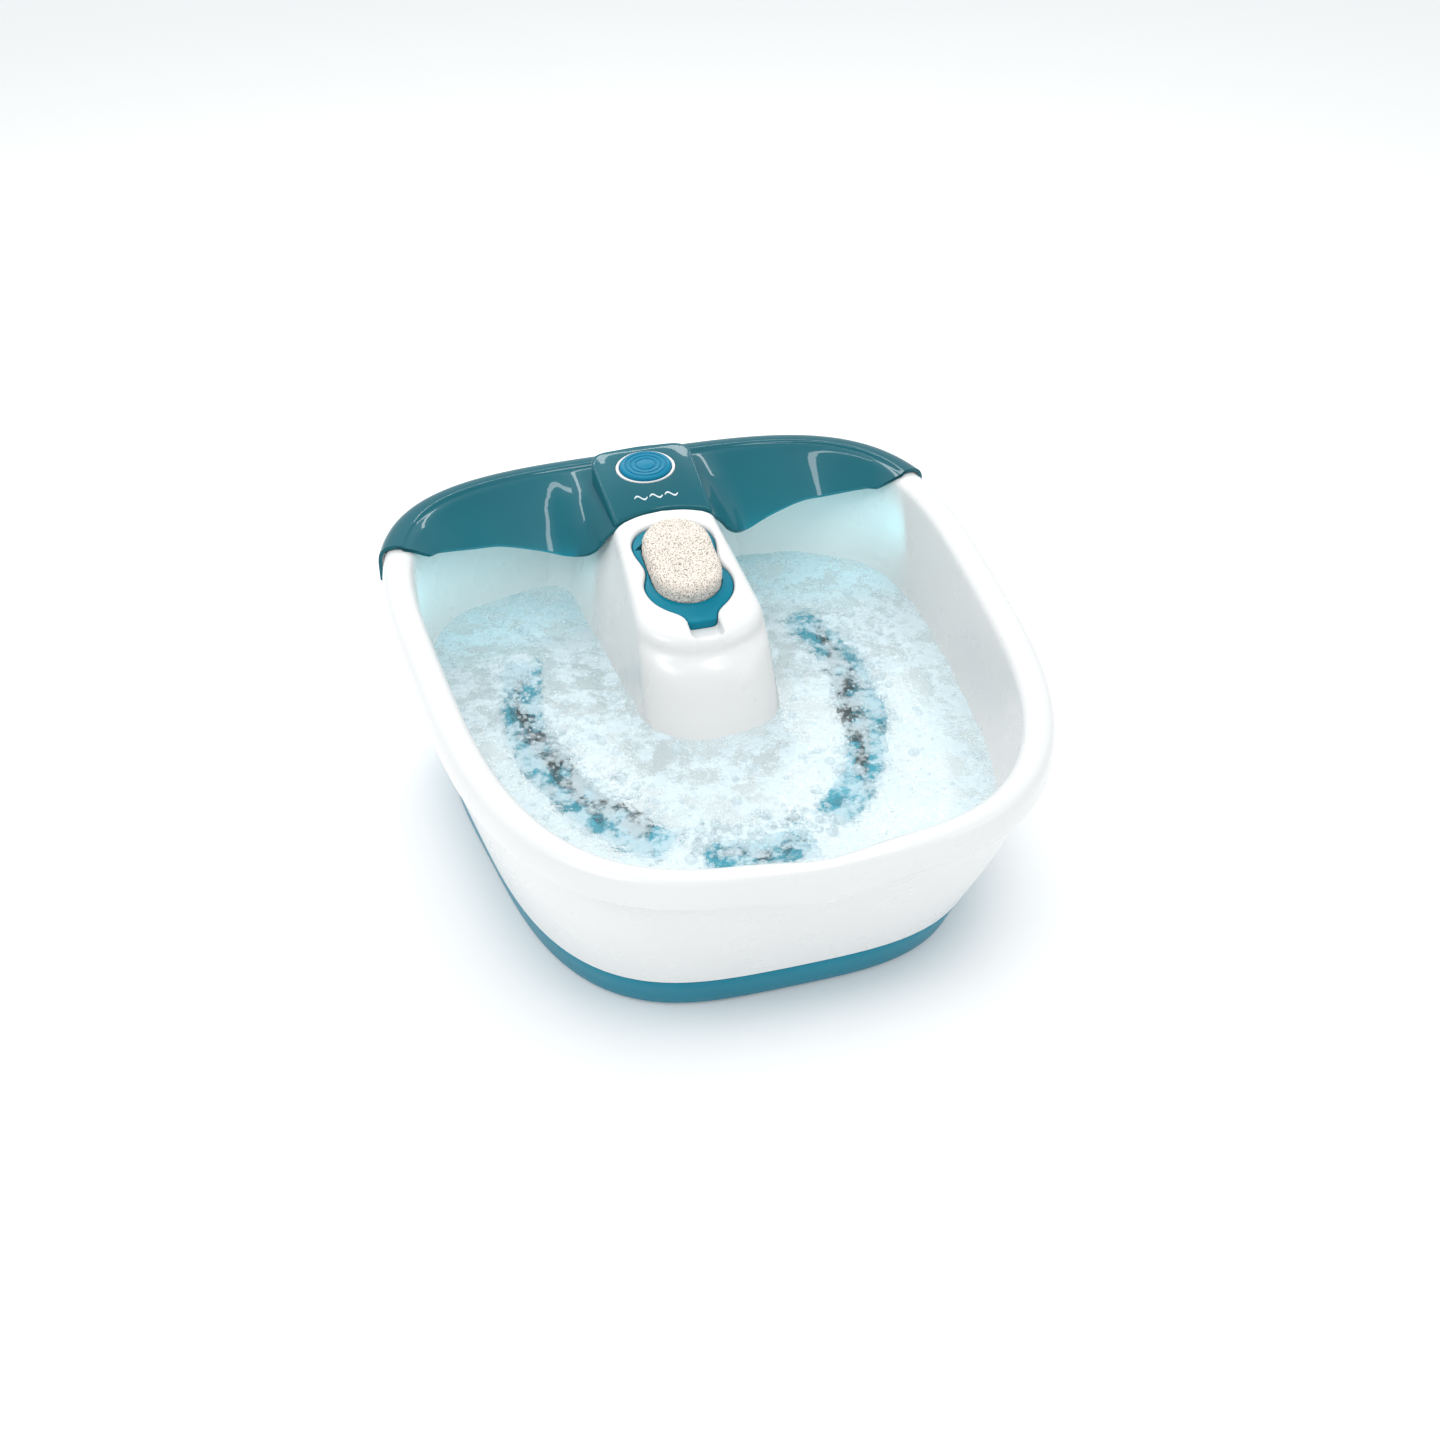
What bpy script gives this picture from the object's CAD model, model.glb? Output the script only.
"""A pedicure foot bath with bubbling water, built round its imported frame.

Shapes are worked out in millimetres from the middle of the rim and placed in metres by spot().
Each piece has an operator; the sidebar panel lists them in order.
"""
import math
import random
from collections import namedtuple
from functools import lru_cache

import bpy
from mathutils import Matrix, Vector, noise


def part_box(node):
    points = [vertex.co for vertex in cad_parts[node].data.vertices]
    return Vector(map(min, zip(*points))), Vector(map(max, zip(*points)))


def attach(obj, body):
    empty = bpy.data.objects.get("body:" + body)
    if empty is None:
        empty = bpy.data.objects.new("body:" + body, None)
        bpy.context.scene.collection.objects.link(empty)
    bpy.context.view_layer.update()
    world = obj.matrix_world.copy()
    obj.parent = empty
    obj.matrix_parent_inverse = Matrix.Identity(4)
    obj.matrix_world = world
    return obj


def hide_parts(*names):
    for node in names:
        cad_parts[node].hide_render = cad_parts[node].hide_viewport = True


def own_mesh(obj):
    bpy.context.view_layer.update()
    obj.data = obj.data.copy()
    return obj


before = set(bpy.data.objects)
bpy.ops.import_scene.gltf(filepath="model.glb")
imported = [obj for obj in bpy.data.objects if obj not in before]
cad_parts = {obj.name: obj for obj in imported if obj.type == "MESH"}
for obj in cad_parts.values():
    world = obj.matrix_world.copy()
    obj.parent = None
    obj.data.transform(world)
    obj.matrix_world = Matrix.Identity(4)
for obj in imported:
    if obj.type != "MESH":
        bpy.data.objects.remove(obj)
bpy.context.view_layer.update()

bl_info = {
    "name": "Pedicure foot bath",
    "version": (1, 0, 0),
    "blender": (4, 5, 0),
    "location": "View3D > Sidebar > Foot bath",
    "description": "Builds the visible pieces of a bubbling foot bath, its water and its studio",
    "category": "Add Mesh",
}

MM = 0.001
BASIN_LOW, BASIN_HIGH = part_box("basin")
RIM_MIDDLE_Y = (BASIN_LOW.y + BASIN_HIGH.y) / 2

# Driving sizes in millimetres, as in the model of the frame
LENGTH = (BASIN_HIGH.y - BASIN_LOW.y) / MM
WIDTH = 345
BASE_LENGTH = 302
BASE_WIDTH = 278.4
CREST = 146.3
CREST_RISE = 0.0203
CREST_BOW = 0.000083
FOOT_HEIGHT = 2
BAND_TOP = 29
FLOOR_TOP = 38
FLOOR_UNDER = 35
BASIN_WALL = 2.5
BODY_WALL = 2.2
PAN_WALL = 3
GAP = 0.3
RIM_SIDE = 18.7
RIM_END = 16
SKIRT = 18
BODY_TUCK = 3.4
CORNER_TUCK = 3
CORNER_BOW = 4.5
SPOUT_HALF = 26
SPOUT_DIP = 2.4
SPOUT_CUT = 4
SPOUT_DROOP = 5
TOP_SLOPE = 0.19
TOP_Y = 118
TOP_Z = 148
TOWER_WALL = 2.6
SEAT_Z = 143.5
GUARD_WALL = 2.3
GUARD_STEP = GUARD_WALL + 0.8
GUARD_OUT = GUARD_WALL + 1
PANEL_HALF = 31
PANEL_BACK = 180
PANEL_TILT = 0.231
BUTTON_Y = 161
BUTTON_HALF = (16.4, 12.8)
STONE_HALF = 21
STONE_REACH = 32.5
STONE_THICK = 20
STONE_PROUD = 10.5
STONE_UP = 8
POCKET_DEPTH = 15
STRIP_HALF = 11
STRIP_TOP = 42
NUB_RADIUS = 4.2
BUBBLE_HOLE = 1.2
FOOT_RADIUS = 9

TILT = math.atan(TOP_SLOPE)
PANEL_ANGLE = math.atan(PANEL_TILT)
COLUMNS = 224

Outline = namedtuple("Outline", "half_x half_y back front taper y")
RIM = Outline(WIDTH / 2, LENGTH / 2, 3.54, 3.09, 0.072, 0)
BASE = Outline(BASE_WIDTH / 2, BASE_LENGTH / 2, 3.55, 3.45, 0.144, 4.6)
RimSpot = namedtuple("RimSpot", "normal outer inner crest endness spout")


# Shared shapes

def spot(point):
    """A point in millimetres from the rim's middle as a place in the frame, in metres."""
    return Vector((point[0] * MM, point[1] * MM + RIM_MIDDLE_Y, point[2] * MM))


def outline_point(outline, t):
    """A point of a rounded oblong that narrows towards the front, at one angle."""
    c, s = math.cos(t), math.sin(t)
    power = 2 / (outline.back if s >= 0 else outline.front)
    y = outline.half_y * math.copysign(abs(s) ** power, s)
    x = outline.half_x * math.copysign(abs(c) ** power, c) * (1 + outline.taper * y / outline.half_y)
    return Vector((x, y + outline.y))


def outline_normal(outline, t, step=0.01):
    along = (outline_point(outline, t + step) - outline_point(outline, t - step)).normalized()
    return Vector((along.y, -along.x))


def even_angles(count, fine=4000):
    """Angles that give evenly spaced points along the rim, from the front centre round."""
    start = -math.pi / 2
    lengths = [0.0]
    before = outline_point(RIM, start)
    for i in range(1, fine + 1):
        now = outline_point(RIM, start + 2 * math.pi * i / fine)
        lengths.append(lengths[-1] + (now - before).length)
        before = now
    angles = []
    i = 1
    for k in range(count):
        wanted = lengths[-1] * k / count
        while lengths[i] < wanted:
            i += 1
        part = (wanted - lengths[i - 1]) / (lengths[i] - lengths[i - 1])
        angles.append(start + 2 * math.pi * (i - 1 + part) / fine)
    return angles


@lru_cache(maxsize=None)
def rim_at(t):
    """The rim at one angle: its edges, crest, and how near it is to an end or the spout."""
    normal = outline_normal(RIM, t)
    outer = outline_point(RIM, t)
    spout = math.exp(-((outer.x / SPOUT_HALF) ** 2)) if outer.y < 0 else 0
    crest = CREST + CREST_RISE * outer.y - CREST_BOW * outer.y ** 2 - SPOUT_DIP * spout
    endness = normal.y ** 2
    width = RIM_SIDE + (RIM_END - RIM_SIDE) * endness - SPOUT_CUT * spout
    return RimSpot(normal, outer, outer - normal * width, crest, endness, spout)


def rim_point(t, share, drop, outward=0):
    """A point of the rim: share 0 at its inner edge and 1 at its outer, drop below its crest."""
    rim = rim_at(t)
    place = rim.inner.lerp(rim.outer, share) + rim.normal * outward
    droop = SPOUT_DROOP * rim.spout if drop == SKIRT else 0
    return Vector((place.x, place.y, rim.crest - drop - droop))


def body_point(t, z, inset):
    """A point of the outer body, or inset from it, at one angle and height."""
    rim = rim_at(t)
    frontness = max(0, -rim.normal.y)
    corner = 2 * frontness * abs(rim.normal.x)
    tuck = BODY_TUCK + 2 * frontness + CORNER_TUCK * corner
    high = rim.outer - rim.normal * tuck
    low = outline_point(BASE, t)
    share = min(1, (z - FOOT_HEIGHT) / (rim.crest - SKIRT + 1 - FOOT_HEIGHT))
    swell = CORNER_BOW * corner * 6.75 * share ** 2 * (1 - share)
    place = low.lerp(high, share) + rim.normal * (swell - inset)
    return Vector((place.x, place.y, z))


def wall_point(t, side, end, z):
    """A point of a wall inside the body, inset by one amount at the sides and another at the ends."""
    return body_point(t, z, side + (end - side) * rim_at(t).endness)


def eased(points, radius, steps=4, closed=False):
    """The corners of a run of points rounded off to at most the given radius."""
    count = len(points)
    result = [] if closed else [points[0]]
    for i in range(count) if closed else range(1, count - 1):
        corner = points[i]
        back = points[i - 1] - corner
        ahead = points[(i + 1) % count] - corner
        start = corner + back * min(0.5, radius / max(back.length, 1e-6))
        end = corner + ahead * min(0.5, radius / max(ahead.length, 1e-6))
        for k in range(steps + 1):
            u = k / steps
            result.append(start.lerp(corner, u).lerp(corner.lerp(end, u), u))
    if not closed:
        result.append(points[-1])
    return result


def through(points, steps):
    """A smooth curve through the points, as the middle of each four of them bends."""
    ends = [points[0] * 2 - points[1], *points, points[-1] * 2 - points[-2]]
    result = []
    for a, b, c, d in zip(ends, ends[1:], ends[2:], ends[3:]):
        for k in range(steps):
            u = k / steps
            result.append(
                b + (c - a) * (u / 2) + (a * 2 - b * 5 + c * 4 - d) * (u * u / 2)
                + (b * 3 - a - c * 3 + d) * (u ** 3 / 2)
            )
    result.append(points[-1])
    return result


def grown(points, amount):
    """A closed clockwise outline moved outwards."""
    moved = []
    for i, point in enumerate(points):
        along = (points[(i + 1) % len(points)] - points[i - 1]).normalized()
        moved.append(point + Vector((-along.y, along.x)) * amount)
    return moved


# Mesh work

def deselect():
    if bpy.context.object and bpy.context.object.mode != "OBJECT":
        bpy.ops.object.mode_set(mode="OBJECT")
    bpy.ops.object.select_all(action="DESELECT")


def choose(piece):
    deselect()
    piece.select_set(True)
    bpy.context.view_layer.objects.active = piece


def placed_grid(name, rows, wrapped_columns):
    """A grid whose vertices are moved to rows of points."""
    deselect()
    across = len(rows[0]) if wrapped_columns else len(rows[0]) - 1
    up = len(rows) - 1
    bpy.ops.mesh.primitive_grid_add(x_subdivisions=across, y_subdivisions=up, size=2)
    piece = bpy.context.object
    piece.name = piece.data.name = name
    for vertex in piece.data.vertices:
        i = round((vertex.co.x + 1) / 2 * across) % len(rows[0])
        j = round((vertex.co.y + 1) / 2 * up)
        vertex.co = spot(rows[j][i])
    return piece


def close_up(piece, fill=True):
    """Merges the seam, fills the ends and turns all faces outwards."""
    choose(piece)
    bpy.ops.object.mode_set(mode="EDIT")
    bpy.ops.mesh.select_all(action="SELECT")
    bpy.ops.mesh.remove_doubles(threshold=2e-6)
    if fill:
        bpy.ops.mesh.fill_holes(sides=0)
    bpy.ops.mesh.select_all(action="SELECT")
    bpy.ops.mesh.normals_make_consistent(inside=False)
    bpy.ops.object.mode_set(mode="OBJECT")
    return piece


def skin(name, rings, wrapped=False):
    """A closed piece through a stack of rings; a wrapped stack runs back to its first ring."""
    rows = [*rings, rings[0]] if wrapped else rings
    return close_up(placed_grid(name, rows, True), fill=not wrapped)


def combine(piece, tool, operation):
    """Joins, cuts or intersects a piece with a tool, which is used up."""
    choose(piece)
    bpy.ops.object.modifier_add(type="BOOLEAN")
    modifier = piece.modifiers[-1]
    modifier.operation = operation
    modifier.solver = "MANIFOLD"
    modifier.object = tool
    bpy.ops.object.modifier_apply(modifier=modifier.name)
    bpy.data.objects.remove(tool)
    return piece


def joined(pieces):
    deselect()
    for piece in pieces:
        piece.select_set(True)
    bpy.context.view_layer.objects.active = pieces[0]
    bpy.ops.object.join()
    return pieces[0]


def moved(piece, matrix):
    """Puts a piece drawn at the rim's middle into place; the matrix is in millimetres."""
    shift = Matrix.Translation((0, RIM_MIDDLE_Y, 0))
    scaled = matrix.copy()
    scaled.translation = matrix.translation * MM
    piece.data.transform(shift @ scaled @ shift.inverted())
    return piece


def on_top(piece):
    """From flat at the origin to the sloping top of the tower."""
    place = Matrix.Translation((0, POCKET_Y, tower_top(POCKET_Y)))
    return moved(piece, place @ Matrix.Rotation(TILT, 4, "X"))


def on_panel(piece):
    """From flat at the origin to the control panel, round the toe button."""
    place = Matrix.Translation((0, BUTTON_Y, panel_top(BUTTON_Y)))
    return moved(piece, place @ Matrix.Rotation(PANEL_ANGLE, 4, "X"))


def rod(x, y, low, high, radius, sides=32):
    """An upright cylinder between two heights."""
    deselect()
    middle = spot((x, y, (low + high) / 2))
    bpy.ops.mesh.primitive_cylinder_add(
        vertices=sides, radius=radius * MM, depth=(high - low) * MM, location=middle,
    )
    bpy.ops.object.transform_apply(location=True, rotation=True, scale=True)
    return bpy.context.object


def block(x, y, low, wide, deep, high):
    """A box that stands on a height, high being its own height."""
    deselect()
    size = (wide * MM, deep * MM, high * MM)
    bpy.ops.mesh.primitive_cube_add(size=1, location=spot((x, y, low + high / 2)), scale=size)
    bpy.ops.object.transform_apply(location=True, rotation=True, scale=True)
    return bpy.context.object


def finish(piece, material, nodes, body="bath", angle=32):
    """Smooth shading, one material, the CAD nodes it stands for and the body it moves with."""
    choose(piece)
    bpy.ops.object.shade_smooth_by_angle(angle=math.radians(angle))
    piece.data.materials.clear()
    piece.data.materials.append(material)
    if nodes:
        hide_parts(*nodes)
    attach(piece, body)
    return piece


# Materials

def new_material(name):
    name = "bath_" + name
    material = bpy.data.materials.get(name)
    if material:
        return material, None, None
    material = bpy.data.materials.new(name)
    material.use_nodes = True
    tree = material.node_tree
    return material, tree, tree.nodes["Principled BSDF"]


def add(tree, kind, **settings):
    node = tree.nodes.new(kind)
    for key, value in settings.items():
        if key in node.inputs:
            node.inputs[key].default_value = value
        else:
            setattr(node, key, value)
    return node


def on_object(tree, texture):
    """A texture laid out on the piece's own coordinates."""
    place = tree.nodes.get("Texture Coordinate") or add(tree, "ShaderNodeTexCoord")
    tree.links.new(place.outputs["Object"], texture.inputs["Vector"])
    return texture


def noise_on_object(tree, scale, detail=3, roughness=0.5):
    return on_object(tree, add(tree, "ShaderNodeTexNoise", Scale=scale, Detail=detail, Roughness=roughness))


def ramp(tree, source, stops):
    node = add(tree, "ShaderNodeValToRGB")
    elements = node.color_ramp.elements
    while len(elements) < len(stops):
        elements.new(0.5)
    for element, (place, colour) in zip(elements, stops):
        element.position = place
        element.color = (*colour, 1)
    tree.links.new(source, node.inputs["Fac"])
    return node


def tint(tree, source, stops, shader):
    """Colours a shader by a ramp over a texture."""
    tree.links.new(ramp(tree, source, stops).outputs["Color"], shader.inputs["Base Color"])


def span(tree, source, low, high):
    node = add(tree, "ShaderNodeMapRange")
    node.inputs["To Min"].default_value = low
    node.inputs["To Max"].default_value = high
    tree.links.new(source, node.inputs["Value"])
    return node


def bump(tree, source, strength, distance, shader, previous=None):
    node = add(tree, "ShaderNodeBump", Strength=strength, Distance=distance)
    tree.links.new(source, node.inputs["Height"])
    if previous:
        tree.links.new(previous.outputs["Normal"], node.inputs["Normal"])
    tree.links.new(node.outputs["Normal"], shader.inputs["Normal"])
    return node


def shade(colour, factor):
    """A colour made darker or lighter."""
    return tuple(max(0.0, min(1.0, value * factor)) for value in colour)


def moulded(
    name, colour, roughness, coat=0.0, drift=0.06, grain=900, relief=0.00004, metallic=0.0, shine=0.5,
):
    """Moulded plastic or plain metal: faint drift of colour, uneven gloss and a fine skin texture."""
    material, tree, shader = new_material(name)
    if tree is None:
        return material
    shader.inputs["Metallic"].default_value = metallic
    shader.inputs["Specular IOR Level"].default_value = shine
    shader.inputs["Coat Weight"].default_value = coat
    shader.inputs["Coat Roughness"].default_value = 0.14
    broad = noise_on_object(tree, 14, 2)
    stops = [(0.3, shade(colour, 1 - drift)), (0.7, shade(colour, 1 + drift))]
    tint(tree, broad.outputs["Fac"], stops, shader)
    gloss = span(tree, noise_on_object(tree, 40, 2).outputs["Fac"], roughness * 0.9, roughness * 1.1)
    tree.links.new(gloss.outputs["Result"], shader.inputs["Roughness"])
    bump(tree, noise_on_object(tree, grain, 2).outputs["Fac"], 0.25, relief, shader)
    return material


def pearly_plastic(context):
    pearl = context.scene.foot_bath_colours.pearl
    return moulded("pearl_plastic", pearl, 0.28, coat=0.3, drift=0.012, grain=2200, relief=0.000004)


def teal_plastic(context):
    c = context.scene.foot_bath_colours
    return moulded("teal_plastic", c.teal, 0.36, drift=0.05, shine=0.16)


def strip_plastic(context):
    return moulded("strip_plastic", context.scene.foot_bath_colours.strip, 0.4, drift=0.05, shine=0.16)


def guard_plastic(context):
    """Deep glossy teal, a little lighter where the sheet is seen edge on."""
    c = context.scene.foot_bath_colours
    material, tree, shader = new_material("guard_plastic")
    if tree is None:
        return material
    shader.inputs["Coat Weight"].default_value = 0.38
    shader.inputs["Coat Roughness"].default_value = 0.03
    shader.inputs["Roughness"].default_value = 0.3
    shader.inputs["Specular IOR Level"].default_value = 0.12
    broad = noise_on_object(tree, 9, 2)
    stops = [(0.3, shade(c.guard, 0.9)), (0.7, shade(c.guard, 1.12))]
    tint(tree, broad.outputs["Fac"], stops, shader)
    bump(tree, noise_on_object(tree, 25, 1).outputs["Fac"], 0.15, 0.0002, shader)
    return material


def button_plastic(context):
    c = context.scene.foot_bath_colours
    return moulded("button_plastic", c.button, 0.34, drift=0.06, grain=1500, shine=0.22)


def printed_grey(context):
    c = context.scene.foot_bath_colours
    return moulded("printed_grey", c.print, 0.5, drift=0.03)


def pumice(context):
    """Beige foam stone: grey-brown specks, pale walls between open pores."""
    c = context.scene.foot_bath_colours
    material, tree, shader = new_material("pumice")
    if tree is None:
        return material
    shader.inputs["Roughness"].default_value = 0.92
    shader.inputs["Specular IOR Level"].default_value = 0.25
    cells = on_object(tree, add(tree, "ShaderNodeTexVoronoi", Scale=780, Randomness=1))
    specks = noise_on_object(tree, 1150, 2, 0.6)
    speckled = ramp(
        tree, specks.outputs["Fac"],
        [(0.34, c.pumice_speck), (0.43, shade(c.pumice, 0.7)),
         (0.48, c.pumice), (0.7, shade(c.pumice, 1.12))],
    )
    pore_stops = [(0.0, (0.42, 0.36, 0.3)), (0.42, (1, 1, 1)), (1, (1, 1, 1))]
    pores = ramp(tree, cells.outputs["Distance"], pore_stops)
    blend = add(tree, "ShaderNodeMix", data_type="RGBA", blend_type="MULTIPLY")
    factor, first, second = blend.inputs[0], blend.inputs[6], blend.inputs[7]
    factor.default_value = 0.75
    tree.links.new(speckled.outputs["Color"], first)
    tree.links.new(pores.outputs["Color"], second)
    tree.links.new(blend.outputs[2], shader.inputs["Base Color"])
    rough = bump(tree, cells.outputs["Distance"], 0.6, 0.0005, shader)
    bump(tree, specks.outputs["Fac"], 0.5, 0.0004, shader, rough)
    return material


def steel(context):
    grey = context.scene.foot_bath_colours.steel
    return moulded("steel", grey, 0.32, drift=0.08, grain=2600, metallic=1.0)


def black_plastic(context):
    black = context.scene.foot_bath_colours.black
    return moulded("black_plastic", black, 0.5, drift=0.2, grain=1800, relief=0.00008)


def rubber(context):
    black = context.scene.foot_bath_colours.rubber
    return moulded("rubber", black, 0.78, drift=0.25, grain=1200, relief=0.0001)


def natural_plastic(context):
    return moulded("natural_plastic", context.scene.foot_bath_colours.natural, 0.45, drift=0.05)


def ferrite(context):
    grey = context.scene.foot_bath_colours.ferrite
    return moulded("ferrite", grey, 0.7, drift=0.3, grain=2200, relief=0.0001)


def windings(context):
    """Copper wire laid round the rotor, seen as fine bright and dark bands."""
    c = context.scene.foot_bath_colours
    material, tree, shader = new_material("windings")
    if tree is None:
        return material
    shader.inputs["Metallic"].default_value = 0.85
    shader.inputs["Roughness"].default_value = 0.35
    bands = add(tree, "ShaderNodeTexWave", Scale=420, Distortion=0.6, wave_type="BANDS", bands_direction="Z")
    on_object(tree, bands)
    stops = [(0.0, shade(c.copper, 0.35)), (0.6, c.copper), (1, shade(c.copper, 1.3))]
    tint(tree, bands.outputs["Fac"], stops, shader)
    bump(tree, bands.outputs["Fac"], 0.6, 0.0002, shader)
    return material


def circuit_board(context):
    """Green lacquer over darker tracks."""
    c = context.scene.foot_bath_colours
    material, tree, shader = new_material("circuit_board")
    if tree is None:
        return material
    shader.inputs["Roughness"].default_value = 0.35
    shader.inputs["Coat Weight"].default_value = 0.4
    tracks = on_object(tree, add(tree, "ShaderNodeTexBrick", Scale=160, offset=0.3))
    tracks.inputs["Color1"].default_value = (*shade(c.board, 1.25), 1)
    tracks.inputs["Color2"].default_value = (*c.board, 1)
    tracks.inputs["Mortar"].default_value = (*shade(c.board, 0.5), 1)
    tracks.inputs["Mortar Size"].default_value = 0.06
    tree.links.new(tracks.outputs["Color"], shader.inputs["Base Color"])
    bump(tree, tracks.outputs["Fac"], 0.3, 0.0001, shader)
    return material


# The basin: walls, floor, rim and tower

WALL_INSIDE = [(8, 10.5, 78), (7.2, 12, 50), (12, 18, 42), (22, 30, FLOOR_TOP)]
WALL_OUTSIDE = [(21, 29, FLOOR_UNDER), (9.8, 15.8, 39.8), (4.7, 9.5, 49.4), (5.4, 7.9, 77.6)]
RIM_UNDERSIDE = [(0.3, 3.6), (0.7, 2.9), (0.86, 8), (0.86, SKIRT)]
RIM_TOPSIDE = [(1, SKIRT), (1, 9), (0.95, 4), (0.8, 0.8), (0.5, 0), (0.22, 1.2), (0.04, 4), (0, 8)]
ANGLES = even_angles(COLUMNS)

Section = namedtuple("Section", "z front back nose shoulder")
TOWER = [
    Section(FLOOR_UNDER + 1.5, 46, 62, -26, 10),
    Section(78, 41.5, 55, -15, 16),
    Section(112, 39, 46, 0, 30),
]
TOWER_CAP = Section(0, 38.5, 27, 11, 40)
TOWER_END = 200
TOWER_JOIN_TOP = 125
TOWER_ROUND = 2.15
CORNER_STEPS = 30


def tower_top(y):
    return TOP_Z + TOP_SLOPE * (y - TOP_Y)


POCKET_Y = TOP_Y - 50 * math.cos(TILT)


def back_wall_y(z, off_centre=70):
    """Where the basin's back wall stands beside the tower, at a height above the floor."""
    angles = [t for t in ANGLES if rim_at(t).outer.y > 0 and rim_at(t).outer.x > 0]
    t = min(angles, key=lambda angle: abs(rim_at(angle).outer.x - off_centre))
    levels = [(wall_point(t, side, end, height).y, height) for side, end, height in WALL_INSIDE]
    edge = rim_point(t, 0, 8)
    levels = [(edge.y, edge.z), *levels]
    for (y_high, high), (y_low, low) in zip(levels, levels[1:]):
        if z >= low:
            return y_low + (y_high - y_low) * min(1, (z - low) / (high - low))
    return levels[-1][0]


def between(low, high, z):
    share = (z - low.z) / (high.z - low.z)
    return Section(*(a + (b - a) * share for a, b in zip(low, high)))


def tower_half(section, y, inset):
    """Half the tower's width at one level and place along it."""
    slope = (section.back - section.front) / (TOWER_END - section.shoulder)
    return section.front + slope * (y - section.shoulder) - inset


def tower_nose(section, inset, steps):
    """The rounded front of the tower at one level, from right to left."""
    power = 2 / TOWER_ROUND
    reach = section.shoulder - section.nose - inset
    points = []
    for i in range(steps + 1):
        angle = math.pi * i / steps
        c = math.cos(angle)
        x = (section.front - inset) * math.copysign(abs(c) ** power, c)
        points.append((x, section.shoulder - reach * math.sin(angle) ** power))
    return points


def tower_ring(section, inset, height, flare):
    """One level of the tower: a rounded front, straight sides and a flare onto the back wall."""
    start = back_wall_y(min(section.z or TOWER_JOIN_TOP, TOWER_JOIN_TOP)) - flare
    side = [(tower_half(section, y, inset), y)
            for y in (start, (2 * start + section.shoulder) / 3, (start + 2 * section.shoulder) / 3)]
    half = side[0][0]
    bend = [(half + flare * (1 - math.cos(a)), start + flare * math.sin(a))
            for a in (math.radians(step) for step in range(10, 81, 10))]
    end_x, end_y = bend[-1]
    right = [(end_x + 2, TOWER_END), (end_x + 0.5, end_y + 6), *reversed(bend), *side]
    left = [(-x, y) for x, y in reversed(right)]
    return [Vector((x, y, height(y))) for x, y in (*right, *tower_nose(section, inset, CORNER_STEPS), *left)]


def tower_outside(sizes):
    fillet = sizes.floor_fillet / MM
    flare = sizes.wall_fillet / MM
    rings = [tower_ring(TOWER[0], -fillet * 0.7, lambda y: TOWER[0].z, flare)]
    for angle in (20, 40, 65, 90):
        out = fillet * (1 - math.sin(math.radians(angle)))
        z = FLOOR_TOP + fillet * (1 - math.cos(math.radians(angle)))
        rings.append(tower_ring(between(TOWER[0], TOWER[1], z), -out, lambda y, z=z: z, flare))
    for z in (52, 78):
        rings.append(tower_ring(between(TOWER[0], TOWER[1], z), 0, lambda y, z=z: z, flare))
    rings.append(tower_ring(TOWER[2], 0, lambda y: TOWER[2].z, flare))
    cap = [tower_ring(TOWER_CAP, inset, lambda y, drop=drop: tower_top(y) - drop, flare)
           for inset, drop in ((0, 10), (1.1, 4.4), (3.8, 1.2), (8.5, 0))]
    columns = [eased(list(column), 13, 5) for column in zip(*rings, *cap)]
    return skin("tower", [list(row) for row in zip(*columns)])


def tower_inside():
    """The hollow of the tower, which stops short of the basin's back wall."""
    wall = TOWER_WALL

    def ring(section, inset, height, end):
        half = tower_half(section, end, inset)
        points = [(half, end), *tower_nose(section, inset, 14), (-half, end)]
        return [Vector((x, y, height(y))) for x, y in points]

    def roof(y):
        return min(tower_top(y), SEAT_Z) - wall

    levels = [TOWER[0]._replace(z=FOOT_HEIGHT), *TOWER]
    rings = [ring(s, wall, lambda y, s=s: s.z, end) for s, end in zip(levels, (134, 134, 160, 172))]
    rings.append(ring(TOWER_CAP, wall, lambda y: min(tower_top(y) - 11, roof(y) - 6), 176))
    rings.append(ring(TOWER_CAP, wall + 5, roof, 178))
    return skin("tower_hollow", rings)


def basin_envelope():
    """What the basin's outer skin encloses, run up past the tower."""
    rings = [[wall_point(t, side + 0.3, end + 0.3, z) for t in ANGLES] for side, end, z in WALL_OUTSIDE]
    rings.append([rim_point(t, 0, 9, BASIN_WALL - 0.5) for t in ANGLES])
    rings.append([rim_point(t, 0, -60, BASIN_WALL - 0.5) for t in ANGLES])
    return skin("envelope", rings)


def basin_shell():
    columns = []
    for t in ANGLES:
        points = [wall_point(t, side, end, z) for side, end, z in WALL_OUTSIDE]
        points.append(rim_point(t, 0, 9, BASIN_WALL))
        points += [rim_point(t, share, drop) for share, drop in RIM_UNDERSIDE + RIM_TOPSIDE]
        points += [wall_point(t, side, end, z) for side, end, z in WALL_INSIDE]
        columns.append(eased(points, 6, 3))
    return skin("basin_fine", [list(row) for row in zip(*columns)])


NOTCH_HALF = 9.2
TAB_END = -41
NOTCH_END = -54
POCKET_END = STONE_UP + STONE_REACH + 4.5
EDGE_ROUND = 1.2


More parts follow.
